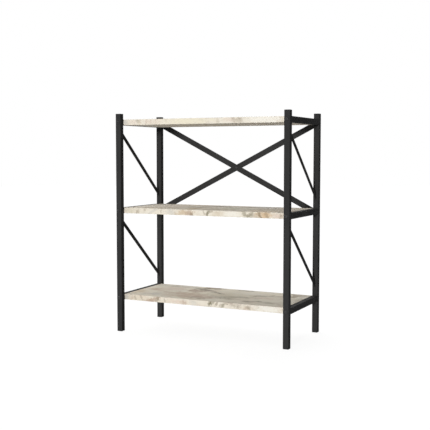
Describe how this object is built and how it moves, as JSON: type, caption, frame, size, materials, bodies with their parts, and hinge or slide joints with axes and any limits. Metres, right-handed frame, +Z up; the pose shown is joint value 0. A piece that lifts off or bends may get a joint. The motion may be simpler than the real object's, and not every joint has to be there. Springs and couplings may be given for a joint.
{
  "type": "bookcase",
  "caption": "Open bookcase with flat shelves between square-tube side frames, slanted flat-bar side braces and a crossed flat-bar brace behind the upper bay.",
  "frame": {"origin": "on the floor, in the middle of the whole object's width and depth", "axes": "+X to the right and +Y to the back as one faces the open front, +Z up"},
  "size_m": [0.6524, 0.3182, 0.7685],
  "materials": {
    "frame_steel": "matt charcoal powder coat",
    "black_fastener": "satin black oxide",
    "zinc_steel": "zinc plated",
    "black_plastic": "matt, moulded",
    "board": "printed laminate in a pale weathered stone and wood look, matt",
    "edging": "printed edge band in the same look, a little lighter, matt"
  },
  "bodies": {
    "root": {"front_left_post": "frame_steel", "front_left_top_cap": "black_plastic", "front_left_foot": "black_plastic", "front_right_post": "frame_steel", "front_right_top_cap": "black_plastic", "front_right_foot": "black_plastic", "rear_left_post": "frame_steel", "rear_left_top_cap": "black_plastic", "rear_left_foot": "black_plastic", "rear_right_post": "frame_steel", "rear_right_top_cap": "black_plastic", "rear_right_foot": "black_plastic", "left_bottom_rail": "frame_steel", "left_middle_rail": "frame_steel", "left_top_rail": "frame_steel", "left_lower_diagonal": "frame_steel", "left_upper_diagonal": "frame_steel", "right_bottom_rail": "frame_steel", "right_middle_rail": "frame_steel", "right_top_rail": "frame_steel", "right_lower_diagonal": "frame_steel", "right_upper_diagonal": "frame_steel", "bottom_shelf": "board", "bottom_shelf_edging": "edging", "middle_shelf": "board", "middle_shelf_edging": "edging", "top_shelf": "board", "top_shelf_edging": "edging", "front_rail_bolts": "black_fastener", "rear_rail_bolts": "black_fastener", "rail_nut_blocks": "zinc_steel", "shelf_screws": "zinc_steel", "screw_plugs": "black_plastic", "brace_bar_inner": "frame_steel", "brace_bar_outer": "frame_steel", "brace_rivet": "black_fastener", "brace_spacers": "frame_steel", "brace_top_bolts": "black_fastener", "brace_lower_screws": "black_fastener"}
  },
  "joints": []
}
